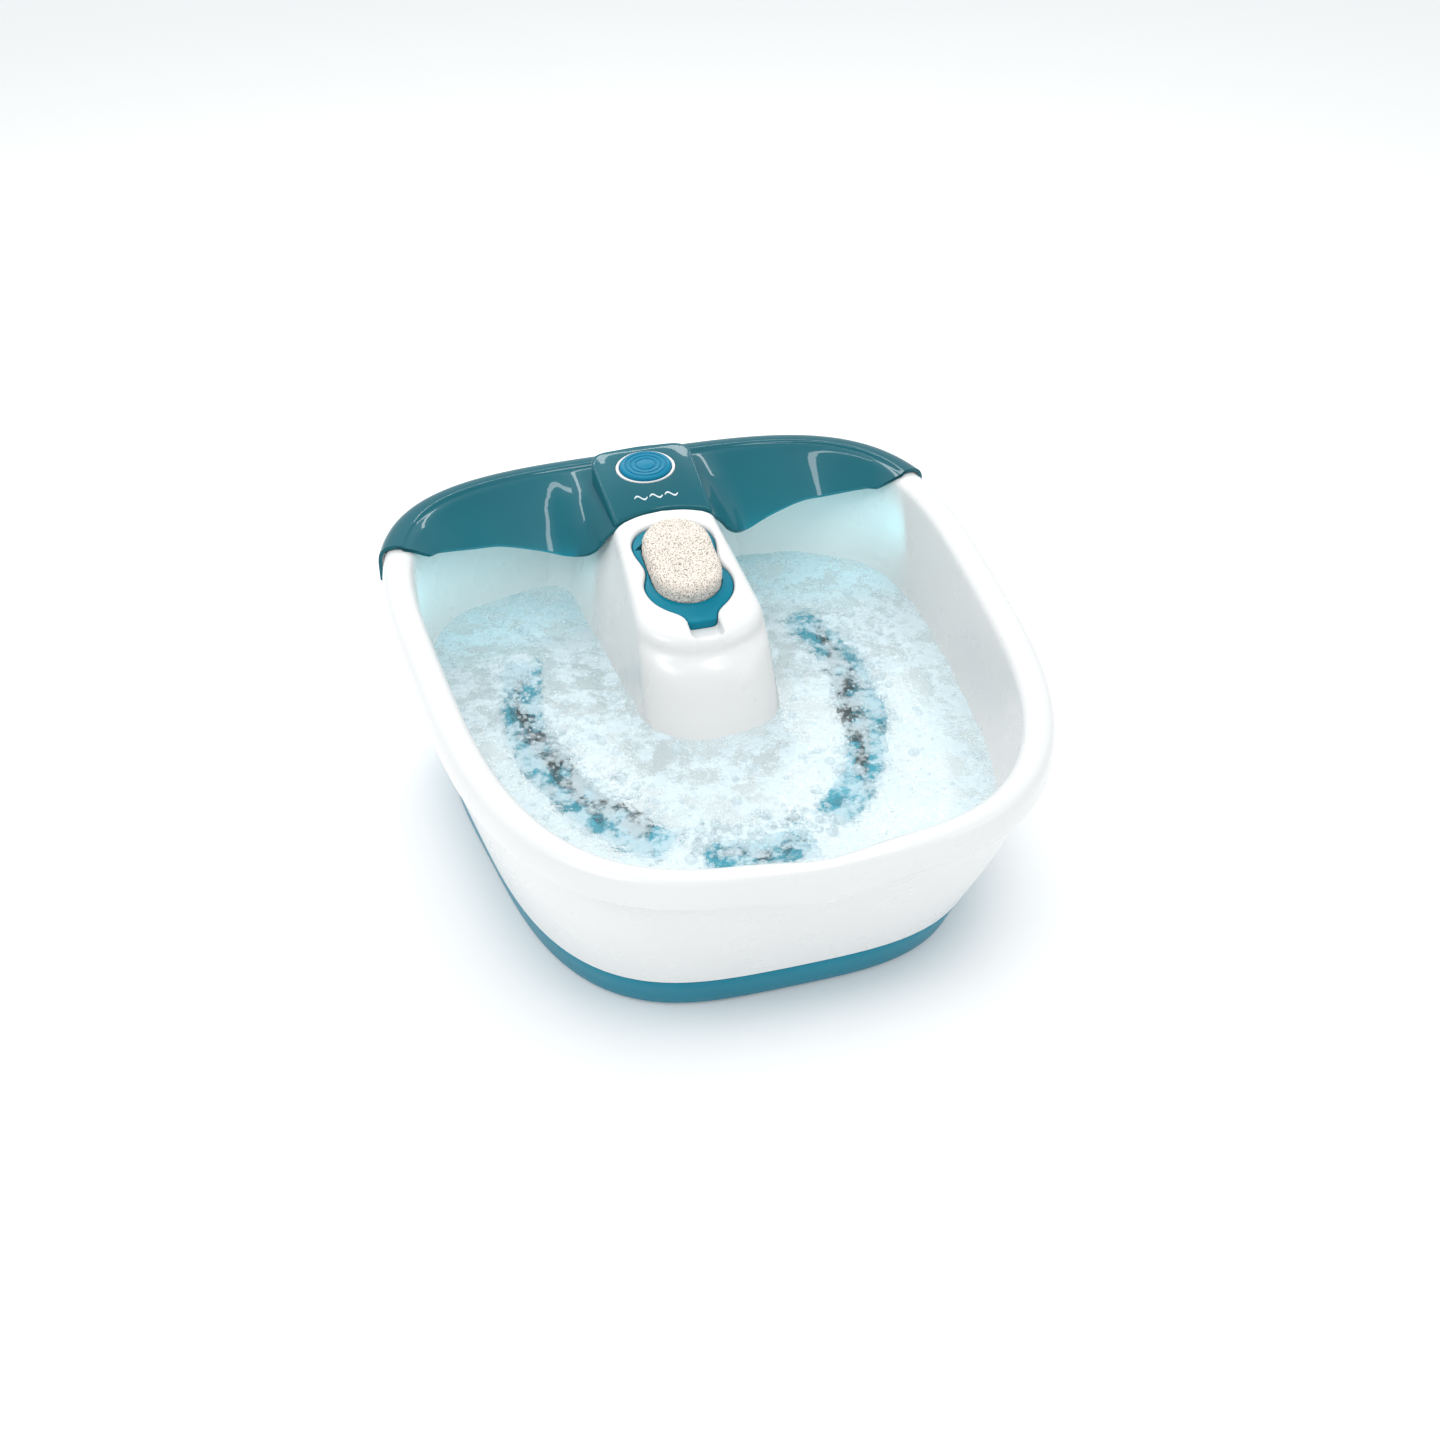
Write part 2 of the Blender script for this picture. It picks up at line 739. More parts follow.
def pocket_outline(bottom):
    """The recess in the tower top: two lobes with a waist, and a narrow tab towards the front."""
    side = STONE_HALF
    right = [
        (side - 9, POCKET_END - 1), (side - 0.5, POCKET_END - 5.5), (side + 4.5, POCKET_END - 14),
        (side + 4.5, POCKET_END - 23), (side + 2.4, 14), (side + 1.3, 8), (side + 2.4, 2.5), (side + 5.4, -4),
        (side + 6, -11), (side + 3.6, -20), (side - 2, -27.5), (side - 8.5, -32.5), (NOTCH_HALF + 0.4, -36.5),
        (NOTCH_HALF, bottom),
    ]
    points = [(0, POCKET_END), *right, *((-x, y) for x, y in reversed(right))]
    return eased([Vector(point) for point in points], 6, 5, closed=True)


def lifted(outline, z):
    return [Vector((p.x, p.y, z)) for p in outline]


def rolled(outline, low):
    """Levels of an outline from a height upwards, its upper edge rounded off."""
    rings = []
    for angle in (0, 30, 60, 90):
        a = math.radians(angle)
        rings.append(lifted(grown(outline, -EDGE_ROUND * (1 - math.cos(a))), low + EDGE_ROUND * math.sin(a)))
    return rings


def lipped_cutter(name, outline, floor, lip, corner=1.5):
    """A cutter with rounded floor edges whose sides roll over at the top by the lip's radius."""
    steps = [math.radians(a) for a in (0, 18, 36, 54, 72)]
    rings = [lifted(grown(outline, -corner * (1 - math.sin(a))), floor + corner * (1 - math.cos(a)))
             for a in steps]
    rings.append(lifted(outline, floor + corner))
    rings += [lifted(grown(outline, lip * (1 - math.cos(a))), -lip * (1 - math.sin(a))) for a in steps]
    rings.append(lifted(grown(outline, lip * (1 - math.cos(steps[-1]))), 40))
    return skin(name, rings)


def notch_cutter():
    half, low, high = NOTCH_HALF, NOTCH_END, TAB_END + 4
    corners = [Vector(p) for p in ((-half, high), (half, high), (half, low), (-half, low))]
    return lipped_cutter("notch", eased(corners, 4, 5, closed=True), -7, 2.4, 2.5)


class FOOTBATH_OT_basin(bpy.types.Operator):
    """Make the basin with its rolled rim, pouring lip, tower, stone recess and finger notch"""
    bl_idname = "footbath.basin"
    bl_label = "Basin"

    def execute(self, context):
        sizes = context.scene.foot_bath_sizes
        tower = combine(tower_outside(sizes), basin_envelope(), "INTERSECT")
        basin = combine(basin_shell(), tower, "UNION")
        cover_outline = grown(pocket_outline(NOTCH_END), TOWER_WALL)
        cover = on_top(skin("cover", [lifted(cover_outline, z) for z in (-POCKET_DEPTH - TOWER_WALL, 30)]))
        combine(basin, combine(tower_inside(), cover, "DIFFERENCE"), "DIFFERENCE")
        lip = sizes.pocket_lip / MM
        pocket = lipped_cutter("pocket", pocket_outline(TAB_END), -POCKET_DEPTH, lip)
        combine(basin, on_top(pocket), "DIFFERENCE")
        combine(basin, on_top(notch_cutter()), "DIFFERENCE")
        combine(basin, guard_clearance(), "DIFFERENCE")
        combine(basin, block(0, BUTTON_Y, SEAT_Z - 10, 54, 38, 32), "DIFFERENCE")
        finish(basin, pearly_plastic(context), ["basin"], angle=38)
        return {"FINISHED"}


# The splash guard and its control panel

GUARD_END_Y = 129
GUARD_EDGE = [
    (0, 0, 124.5, 147.2), (0.07, 14, 122.8, 147), (0.13, 27, 118.2, 146.6), (0.155, 32, 116.8, 145),
    (0.185, 37.5, 117, 140), (0.215, 42.5, 118, 133), (0.25, 49, 121, 128), (0.3, 58, 130, 124),
    (0.37, 73, 137.5, 126), (0.49, 96, 143, 130), (0.62, 113, 141.5, 132), (0.78, 128, 136.5, 136),
    (0.9, 136.5, 132.5, 138.5), (1, 141, 128, 139.5),
]
GUARD_ROLL = [
    (GUARD_OUT, 21), (GUARD_OUT, 7), (GUARD_OUT - 1.4, 1.6), (-2.2, 1 - GUARD_STEP),
    (-9, -GUARD_STEP), (-12, -2.7), (-13.4, -1.2), (-16.5, -0.6),
]


@lru_cache(maxsize=None)
def guard_marks():
    t = math.pi / 2
    marks = [(t, 0.0)]
    before = outline_point(RIM, t)
    while before.y > GUARD_END_Y:
        t -= math.pi / 4000
        now = outline_point(RIM, t)
        marks.append((t, marks[-1][1] + (now - before).length))
        before = now
    return marks


def guard_angle(share):
    marks = guard_marks()
    return next(t for t, length in marks if length >= share * marks[-1][1] - 1e-6)


def guard_section(share, edge, sign, ease):
    rim = rim_at(guard_angle(share))
    section = []
    for out, drop in GUARD_ROLL:
        place = rim.outer + rim.normal * out
        section.append(Vector((place.x, place.y, rim.crest - drop)))
    start = section[-1]
    section += [start.lerp(edge, part) for part in (0.33, 0.67, 1)]
    if ease:
        section = eased(section, 4, 3)
    return [Vector((p.x * sign, p.y, p.z)) for p in section]


def guard_rows(ease=True):
    """The outer face of the guard, one row of points for each place along the rim."""
    steps = 5
    edges = through([Vector(entry[1:]) for entry in GUARD_EDGE], steps)
    shares = through([Vector((entry[0], 0, 0)) for entry in GUARD_EDGE], steps)
    stations = [(min(1, max(0, share.x)), edge) for share, edge in zip(shares, edges)]
    right = [guard_section(share, edge, 1, ease) for share, edge in reversed(stations)]
    left = [guard_section(share, edge, -1, ease) for share, edge in stations[1:]]
    return right + left


def shifted(grid, amount):
    """Every point of a grid moved along its local normal, which points out of the guard."""
    result = []
    for i, row in enumerate(grid):
        above, below = grid[max(i - 1, 0)], grid[min(i + 1, len(grid) - 1)]
        moved_row = []
        for k, point in enumerate(row):
            across = below[k] - above[k]
            down = row[min(k + 1, len(row) - 1)] - row[max(k - 1, 0)]
            moved_row.append(point + across.cross(down).normalized() * amount)
        result.append(moved_row)
    return result


def sheet(name, outer, inner, bead=0.0):
    """A thick sheet between two grids, with a rounded bead along both long edges."""
    rings = []
    for top, under in zip(outer, inner):
        tips = []
        for k in (-1, 0):
            middle = (top[k] + under[k]) / 2
            beyond = (top[k] - top[k - 1 if k else 1]).normalized()
            tips.append(middle + beyond * bead)
        rings.append([tips[1], *top, tips[0], *reversed(under)] if bead else [*top, *reversed(under)])
    return skin(name, rings)


def guard_clearance():
    """What the basin gives up so that the guard lies on it with a gap."""
    inward = [row[4:] for row in guard_rows(ease=False)]
    ends = ((0, 1), (-1, -2))
    for end, following in ends:
        inward[end] = [p + (p - q).normalized() * 1.2 for p, q in zip(inward[end], inward[following])]
    low = shifted(inward, -(GUARD_WALL + 0.5))
    low = [[*row[:-1], row[-1] + (row[-1] - row[-2]).normalized() * 1.1] for row in low]
    high = [[point + Vector((0, 0, 40)) for point in row] for row in low]
    return sheet("guard_clearance", high, low)


def panel_top(y):
    return TOP_Z + 1 + PANEL_TILT * (y - TOP_Y)


def panel_outline(inset):
    half, back, corner = PANEL_HALF - inset, PANEL_BACK - inset, 7
    shares = [step / 6 for step in range(-6, 7)]
    front = [(share * half, 124.5 - 7.2 * (share * half / 30) ** 2 + inset) for share in shares]
    right = [(half + 0.8, back - 25), (half + 1, back - corner), (half - 2, back - 2), (half - corner, back)]
    points = [*front, *right, (0, back + 1.2), *((-x, y) for x, y in reversed(right))]
    return eased([Vector(p) for p in points], 3.5, 4, closed=True)


def panel_block(name, inset, drop, foot, edge):
    """A raised block whose top rises towards the back, rolled over at its upper edge."""
    def ring(extra, height):
        return [Vector((p.x, p.y, height(p.y))) for p in panel_outline(inset + extra)]

    rings = [ring(0, foot)]
    for angle in (0, 22, 45, 67, 90):
        a = math.radians(angle)
        down = drop + edge * (1 - math.sin(a))
        rings.append(ring(
            edge * (1 - math.cos(a)),
            lambda y, down=down: max(panel_top(y) - down, foot(y) + 0.1),
        ))
    return skin(name, rings)


def oval(half_x, half_y, z, count=96):
    angles = [2 * math.pi * i / count for i in range(count)]
    return [Vector((half_x * math.cos(a), half_y * math.sin(a), z)) for a in angles]


BEZEL = (BUTTON_HALF[0] + 2.4, BUTTON_HALF[1] + 1.5)
WAVE_HALF = 0.75


class FOOTBATH_OT_guard(bpy.types.Operator):
    """Make the glossy splash guard with its raised control panel and the printed wave sign"""
    bl_idname = "footbath.guard"
    bl_label = "Splash guard"

    def execute(self, context):
        rows = guard_rows()
        guard = sheet("splash_guard_fine", rows, shifted(rows, -GUARD_WALL), bead=0.8)
        edge = context.scene.foot_bath_sizes.panel_edge / MM

        def foot(y):
            return SEAT_Z + 1.3 + 0.04 * (y - TOP_Y)

        combine(guard, panel_block("panel", 0, 0, foot, edge), "UNION")
        combine(guard, panel_block("hollow", GUARD_WALL, GUARD_WALL, lambda y: SEAT_Z - 4, 0.5), "DIFFERENCE")
        opening = skin("opening", [oval(BEZEL[0] + GAP, BEZEL[1] + GAP, z) for z in (-8, 6)])
        combine(guard, on_panel(opening), "DIFFERENCE")
        finish(guard, guard_plastic(context), ["splash_guard"], angle=40)
        self.print_sign(context)
        return {"FINISHED"}

    def print_sign(self, context):
        """Three short waves between the button and the front edge, in place of lettering."""
        waves = []
        for k in (-1, 0, 1):
            middle = []
            for i in range(25):
                u = i / 24
                middle.append(Vector((k * 9.6 + (u - 0.5) * 8.2, -26.4 + 1.7 * math.sin(2 * math.pi * u), 0)))
            rings = []
            for i, place in enumerate(middle):
                half = WAVE_HALF * math.sin(math.pi * (0.12 + 0.76 * i / 24)) ** 0.5
                low, high = place - Vector((0, half, 0)), place + Vector((0, half, 0))
                rings.append([low + Vector((0, 0, -0.2)), high + Vector((0, 0, -0.2)),
                              high + Vector((0, 0, 0.12)), low + Vector((0, 0, 0.12))])
            waves.append(skin("wave", rings))
        sign = on_panel(joined(waves))
        sign.name = "wave_sign"
        finish(sign, printed_grey(context), [])


class FOOTBATH_OT_button(bpy.types.Operator):
    """Make the oval toe button with its moulded rings, and the white ring round it"""
    bl_idname = "footbath.button"
    bl_label = "Toe button"

    def execute(self, context):
        wide, deep = BUTTON_HALF
        profile = [(1, -5), (1, 0.8), (0.993, 1.3), (0.97, 1.8), (0.93, 2.15), (0.88, 2.3)]
        for groove in (0.78, 0.58, 0.38):
            profile += [(groove + 0.03, 2.5), (groove + 0.015, 2.1)]
            profile += [(groove - 0.015, 2.1), (groove - 0.03, 2.6)]
        profile += [(0.2, 2.85), (0.05, 2.9)]
        cap = skin("toe_button_fine", [oval(wide * scale, deep * scale, z) for scale, z in profile])
        flange = skin("flange", [oval(wide + 1.4, deep + 1, z) for z in (-7.2, -5.9)])
        combine(cap, flange, "UNION")
        combine(cap, skin("core", [oval(wide - 1, deep - 1, z) for z in (-6.6, -4)]), "UNION")
        combine(cap, skin("stem", [oval(3.6, 3.6, z, 40) for z in (-14, -5)]), "UNION")
        on_panel(cap)
        finish(cap, button_plastic(context), ["toe_button"], "toe_button_body", 30)
        x, y = BEZEL[0] - wide, BEZEL[1] - deep
        loop = [(x + 1.2, -5.4), (x + 1.2, -2.8), (x, -2.8), (x, -0.1), (x - 0.25, 0.35), (x - 0.7, 0.5),
                (GAP + 0.6, 0.5), (GAP + 0.15, 0.3), (GAP, -0.1), (GAP, -5.4)]
        rings = []
        for out, z in loop:
            inner = out <= GAP + 0.61
            rings.append(oval(wide + out, deep + (out if inner else out - x + y), z))
        bezel = on_panel(skin("button_bezel_fine", rings, wrapped=True))
        finish(bezel, pearly_plastic(context), ["button_bezel"], angle=35)
        return {"FINISHED"}


SPRING_LOW = -16.1
SPRING_HIGH = -8.3
SPRING_RADIUS = 6.5
SPRING_TURNS = 4
WIRE = 0.6


class FOOTBATH_OT_spring(bpy.types.Operator):
    """Make the coil spring below the toe button, which shortens as the button goes down"""
    bl_idname = "footbath.spring"
    bl_label = "Button spring"

    def execute(self, context):
        steps = 28
        total = SPRING_TURNS * steps
        wire = [2 * math.pi * k / 10 for k in range(10)]
        rings = []
        for i in range(total + 1):
            angle = 2 * math.pi * i / steps
            out = Vector((math.cos(angle), math.sin(angle), 0))
            middle = out * SPRING_RADIUS
            middle.z = SPRING_LOW + (SPRING_HIGH - SPRING_LOW) * i / total
            up = Vector((0, 0, 1))
            rings.append([middle + out * (WIRE * math.cos(a)) + up * (WIRE * math.sin(a)) for a in wire])
        spring = on_panel(skin("button_spring_fine", rings))
        finish(spring, steel(context), ["button_spring"], angle=60)
        up = Vector((0, -math.sin(PANEL_ANGLE), math.cos(PANEL_ANGLE)))
        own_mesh(spring)
        return {"FINISHED"}


# The stone and its holder

HOLDER_SIDE_TOP = -2.8


def stadium(half, reach, corner=40, straights=24):
    straight = reach - half
    arc = [math.pi * i / corner for i in range(corner + 1)]
    top = [(half * math.cos(a), straight + half * math.sin(a)) for a in arc]
    left = [(-half, straight - 2 * straight * k / straights) for k in range(1, straights)]
    points = [*top, *left, *((-x, -y) for x, y in top), *((-x, -y) for x, y in left)]
    return [(x, y + STONE_UP) for x, y in points]


class FOOTBATH_OT_stone(bpy.types.Operator):
    """Make the pumice stone with its open pores, and the teal holder that carries it"""
    bl_idname = "footbath.stone"
    bl_label = "Pumice stone and holder"

    def execute(self, context):
        sizes = context.scene.foot_bath_sizes
        socket = STONE_PROUD - STONE_THICK
        holder_outline = grown(pocket_outline(TAB_END), -0.4)
        rings = [lifted(holder_outline, -POCKET_DEPTH + GAP), *rolled(holder_outline, HOLDER_SIDE_TOP)]
        holder = skin("pumice_holder_fine", rings)
        cut = [[Vector((x, y, z)) for x, y in stadium(STONE_HALF + GAP, STONE_REACH + GAP)]
               for z in (socket - GAP, 5)]
        combine(holder, skin("socket", cut), "DIFFERENCE")
        finish(on_top(holder), teal_plastic(context), ["pumice_holder"], "pumice_attachment")
        levels = [(0.93, 0), (0.985, 0.03), (1, 0.12)]
        levels += [(1, 0.12 + 0.03 * k) for k in range(1, 21)]
        levels += [(0.99, 0.77), (0.965, 0.84), (0.925, 0.9), (0.87, 0.945), (0.8, 0.975), (0.72, 0.99)]
        levels += [(0.72 - 0.03 * k, 0.99 + 0.0018 * k) for k in range(1, 23)]
        rings = []
        for scale, rise in levels:
            inset = (1 - scale) * STONE_HALF
            z = socket + rise * STONE_THICK
            rings.append([Vector((x, y, z)) for x, y in stadium(STONE_HALF - inset, STONE_REACH - inset)])
        stone = skin("pumice_stone_fine", rings)
        self.roughen(stone, "VORONOI", 0.0016, sizes.pore_depth)
        self.roughen(stone, "CLOUDS", 0.004, sizes.pore_depth * 0.8)
        finish(on_top(stone), pumice(context), ["pumice_stone"], "pumice_attachment", 60)
        return {"FINISHED"}

    def roughen(self, stone, kind, scale, depth):
        texture = bpy.data.textures.new("pores", kind)
        texture.noise_scale = scale
        choose(stone)
        bpy.ops.object.modifier_add(type="DISPLACE")
        modifier = stone.modifiers[-1]
        modifier.texture = texture
        modifier.strength = depth
        modifier.mid_level = 0.75
        bpy.ops.object.modifier_apply(modifier=modifier.name)


# The outer body, the base pan and the floor strips

def body_ring(z, inset):
    return [body_point(t, z(rim_at(t)), inset) for t in ANGLES]


class FOOTBATH_OT_body(bpy.types.Operator):
    """Make the white outer body and the teal pan below it"""
    bl_idname = "footbath.body"
    bl_label = "Outer body and base pan"

    def execute(self, context):
        self.shell(context)
        self.pan(context)
        return {"FINISHED"}

    def shell(self, context):
        low = BAND_TOP + GAP
        shares = [k / 10 for k in range(11)]

        def level(share):
            return lambda rim: low + (rim.crest - SKIRT + 1 - low) * share

        def lip(rim):
            return rim.crest - 7

        rings = [body_ring(lambda rim: low, 0.5), *(body_ring(level(s), 0) for s in [0.005, *shares[1:]])]
        rings += [body_ring(lip, 0), body_ring(lip, BODY_WALL)]
        rings += [body_ring(level(s), BODY_WALL) for s in reversed(shares)]
        body = skin("outer_body_fine", rings, wrapped=True)
        finish(body, pearly_plastic(context), ["outer_body"])

    def pan(self, context):
        lip = BODY_WALL + GAP
        deck = FOOT_HEIGHT + PAN_WALL
        profile = [(FOOT_HEIGHT, 1.6), (FOOT_HEIGHT + 0.15, 0.9), (FOOT_HEIGHT + 0.6, 0.3)]
        profile += [(FOOT_HEIGHT + 1.4, 0), (11, 0), (20, 0), (BAND_TOP - 0.7, 0)]
        profile += [(BAND_TOP - 0.2, 0.2), (BAND_TOP, 0.7), (BAND_TOP, lip)]
        profile += [(BAND_TOP + 4, lip), (BAND_TOP + 4, lip + 1.8), (20, lip + 1.8), (deck, lip + 1.8)]
        rings = [[body_point(t, z, inset) for t in ANGLES] for z, inset in profile]
        pan = skin("base_pan_fine", rings)
        feet = [(106, 96), (-106, 96), (92, -86), (-92, -86)]
        bosses = [(66, 112), (-66, 112), (66, 20), (-66, 20), (84, -108), (-84, -108)]
        cutters = [block(x, -20, -4, 3.5, 50, 12) for x in range(-24, 25, 8)]
        cutters += [rod(x, y, -4, FOOT_HEIGHT + 1.5, FOOT_RADIUS + GAP, 48) for x, y in feet]
        cutters += [rod(x, y, -4, FOOT_HEIGHT + 1.6, 4.2, 32) for x, y in bosses]
        combine(pan, joined(cutters), "DIFFERENCE")
        rear = rod(60, 0, 0, 60, 5.5, 32)
        rear.data.transform(Matrix.Translation(spot((60, 110, 17))) @ Matrix.Rotation(-math.pi / 2, 4, "X")
                            @ Matrix.Translation(-spot((60, 0, 0))))
        combine(pan, rear, "DIFFERENCE")
        finish(pan, teal_plastic(context), ["base_pan"])


CHANNEL = [(90, 126), (98, 98), (103, 60), (100, 22), (89, -12), (71, -44), (48, -69)]
FRONT_LINE = [(31, -84), (0, -86), (-31, -84)]


def along(line, count, offset=0.0):
    """Evenly spaced places beside a smooth line."""
    fine = through([Vector(p) for p in line], 24)
    lengths = [0.0]
    for a, b in zip(fine, fine[1:]):
        lengths.append(lengths[-1] + (b - a).length)
    places = []
    for i in range(count):
        wanted = lengths[-1] * (i + 0.5) / count
        k = next(n for n, length in enumerate(lengths) if length >= wanted)
        step = (fine[k] - fine[k - 1]).normalized()
        places.append(fine[k] + Vector((-step.y, step.x)) * offset)
    return places


def nub(place, base):
    rings = []
    for angle in (0, 20, 40, 60, 78):
        a = math.radians(angle)
        reach, z = NUB_RADIUS * math.cos(a), base + 4 * math.sin(a)
        rings.append([Vector((place.x + p.x, place.y + p.y, z)) for p in oval(reach, reach, 0, 16)])
    return skin("nub", rings)


class FOOTBATH_OT_strips(bpy.types.Operator):
    """Make the three kneading strips on the floor, with their domes and bubble holes"""
    bl_idname = "footbath.strips"
    bl_label = "Floor strips"

    def execute(self, context):
        mirrored = [(-x, y) for x, y in CHANNEL]
        self.strip(context, "massage_strip_right", CHANNEL, 8, 6)
        self.strip(context, "massage_strip_left", mirrored, 8, 6)
        self.strip(context, "bubble_strip_front", FRONT_LINE, 4, 5)
        return {"FINISHED"}

    def strip(self, context, node, line, nubs, holes):
        fine = through([Vector(p) for p in line], 6)
        left, right = [], []
        for i, place in enumerate(fine):
            step = (fine[min(i + 1, len(fine) - 1)] - fine[max(i - 1, 0)]).normalized()
            side = Vector((-step.y, step.x)) * STRIP_HALF
            left.append(place + side)
            right.append(place - side)
        outline = eased([*left, *reversed(right)], 5, 4, closed=True)
        low = FLOOR_TOP + GAP
        band = skin(node + "_fine", [lifted(outline, low), *rolled(outline, STRIP_TOP - EDGE_ROUND)])
        domes = [nub(p, STRIP_TOP - 0.5)
                 for side in (-1, 1) for p in along(line, nubs, side * (STRIP_HALF - 4.6))]
        combine(band, joined(domes), "UNION")
        drills = [rod(p.x, p.y, low - 1, 50, BUBBLE_HOLE, 16) for p in along(line, holes)]
        combine(band, joined(drills), "DIFFERENCE")
        finish(band, strip_plastic(context), [node])


# The inner works keep the shapes of the frame and get fine materials

INNER_WORKS = {
    steel: [
        "bracket_screw_left", "bracket_screw_right", "guard_screw_left", "guard_screw_right",
        "motor_can", "motor_shaft", "cradle_screw_1", "cradle_screw_2", "cradle_screw_3",
        "case_screw_1", "case_screw_2", "case_screw_3", "case_screw_4", "case_screw_5", "case_screw_6",
    ],
    black_plastic: [
        "switch_body", "blower_housing", "blower_cover", "motor_cradle",
        "mains_lead", "motor_lead", "switch_lead",
    ],
    rubber: [
        "air_hose", "cord_gland", "isolator_1", "isolator_2", "isolator_3",
        "foot_back_right", "foot_back_left", "foot_front_right", "foot_front_left",
    ],
    natural_plastic: ["switch_bracket", "switch_plunger", "impeller", "air_manifold", "motor_end_cap"],
    windings: ["armature"],
    ferrite: ["magnet_left", "magnet_right"],
    circuit_board: ["rectifier_board"],
}
SMOOTH_PIECES = ["air_hose", "mains_lead", "motor_lead", "switch_lead"]


class FOOTBATH_OT_works(bpy.types.Operator):
    """Give the switch, blower, air ducts, feet and screws their materials"""
    bl_idname = "footbath.works"
    bl_label = "Inner works"

    def execute(self, context):
        for look, names in INNER_WORKS.items():
            for name in names:
                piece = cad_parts[name]
                piece.data.materials.clear()
                piece.data.materials.append(look(context))
                choose(piece)
                angle = 80 if name in SMOOTH_PIECES else 50
                bpy.ops.object.shade_smooth_by_angle(angle=math.radians(angle))
        return {"FINISHED"}


# The water, which is in the bath but isn't part of it

WATER_EDGE = (7.2, 11.2, 78)
BEAD_MARGIN = 6


def water_material(context):
    """Clear, faintly blue water that wobbles, under drifts of fine white froth."""
    c = context.scene.foot_bath_colours
    material, tree, shader = new_material("water")
    shader.inputs["Base Color"].default_value = (*c.water, 1)
    shader.inputs["Transmission Weight"].default_value = 1.0
    shader.inputs["IOR"].default_value = 1.16
    shader.inputs["Roughness"].default_value = 0.02
    fine = noise_on_object(tree, 240, 4, 0.6)
    broad = noise_on_object(tree, 95, 3, 0.55)
    first = bump(tree, broad.outputs["Fac"], 0.8, 0.003, shader)
    bump(tree, fine.outputs["Fac"], 0.8, 0.0014, shader, first)
    froth = add(tree, "ShaderNodeBsdfPrincipled", Roughness=0.35)
    froth.inputs["Base Color"].default_value = (*c.foam, 1)
    froth.inputs["Subsurface Weight"].default_value = 0.2
    froth.inputs["Subsurface Radius"].default_value = (0.004, 0.004, 0.005)
    cells = on_object(tree, add(tree, "ShaderNodeTexVoronoi", Scale=230, Randomness=1, feature="SMOOTH_F1"))
    pearls = add(tree, "ShaderNodeBump", Strength=0.8, Distance=0.0015, invert=True)
    tree.links.new(cells.outputs["Distance"], pearls.inputs["Height"])
    tree.links.new(pearls.outputs["Normal"], froth.inputs["Normal"])
    drifts = noise_on_object(tree, 60, 6, 0.72)
    cover = ramp(tree, drifts.outputs["Fac"], [(0.43, (0.1, 0.1, 0.1)), (0.54, (0.66, 0.66, 0.66))])
    mixed = add(tree, "ShaderNodeMixShader")
    tree.links.new(cover.outputs["Color"], mixed.inputs["Fac"])
    tree.links.new(shader.outputs["BSDF"], mixed.inputs[1])
    tree.links.new(froth.outputs["BSDF"], mixed.inputs[2])
    rays = add(tree, "ShaderNodeLightPath")
    clear = add(tree, "ShaderNodeBsdfTransparent")
    lamps = add(tree, "ShaderNodeMixShader")
    tree.links.new(rays.outputs["Is Camera Ray"], lamps.inputs["Fac"])
    tree.links.new(clear.outputs["BSDF"], lamps.inputs[1])
    tree.links.new(mixed.outputs["Shader"], lamps.inputs[2])
    tree.links.new(lamps.outputs["Shader"], tree.nodes["Material Output"].inputs["Surface"])
    return material


def bubble_material(context):
    material, tree, shader = new_material("bubbles")
    c = context.scene.foot_bath_colours
    shader.inputs["Base Color"].default_value = (*c.foam, 1)
    shader.inputs["Alpha"].default_value = 0.3
    shader.inputs["Roughness"].default_value = 0.06
    shader.inputs["Coat Weight"].default_value = 1
    shader.inputs["Coat Roughness"].default_value = 0.02
    film = noise_on_object(tree, 60, 2)
    bump(tree, film.outputs["Fac"], 0.1, 0.0003, shader)
    return material


def in_tower(x, y, margin):
    """Whether a place on the water is within a margin of the tower."""
    if y < TOWER[1].nose - margin:
        return False
    depth = (TOWER[1].shoulder - y) / (TOWER[1].shoulder - TOWER[1].nose)
    half = TOWER[1].front + 13 * max(0, y - TOWER[1].shoulder) / 184
    if depth > 0:
        half *= max(0, 1 - min(1, depth) ** TOWER_ROUND) ** (1 / TOWER_ROUND)
    return abs(x) < half + margin


def bearing(x, y):
    """The step of four degrees in which a place lies, seen from the middle."""
    return round(math.degrees(math.atan2(y, x)) / 4) % 90


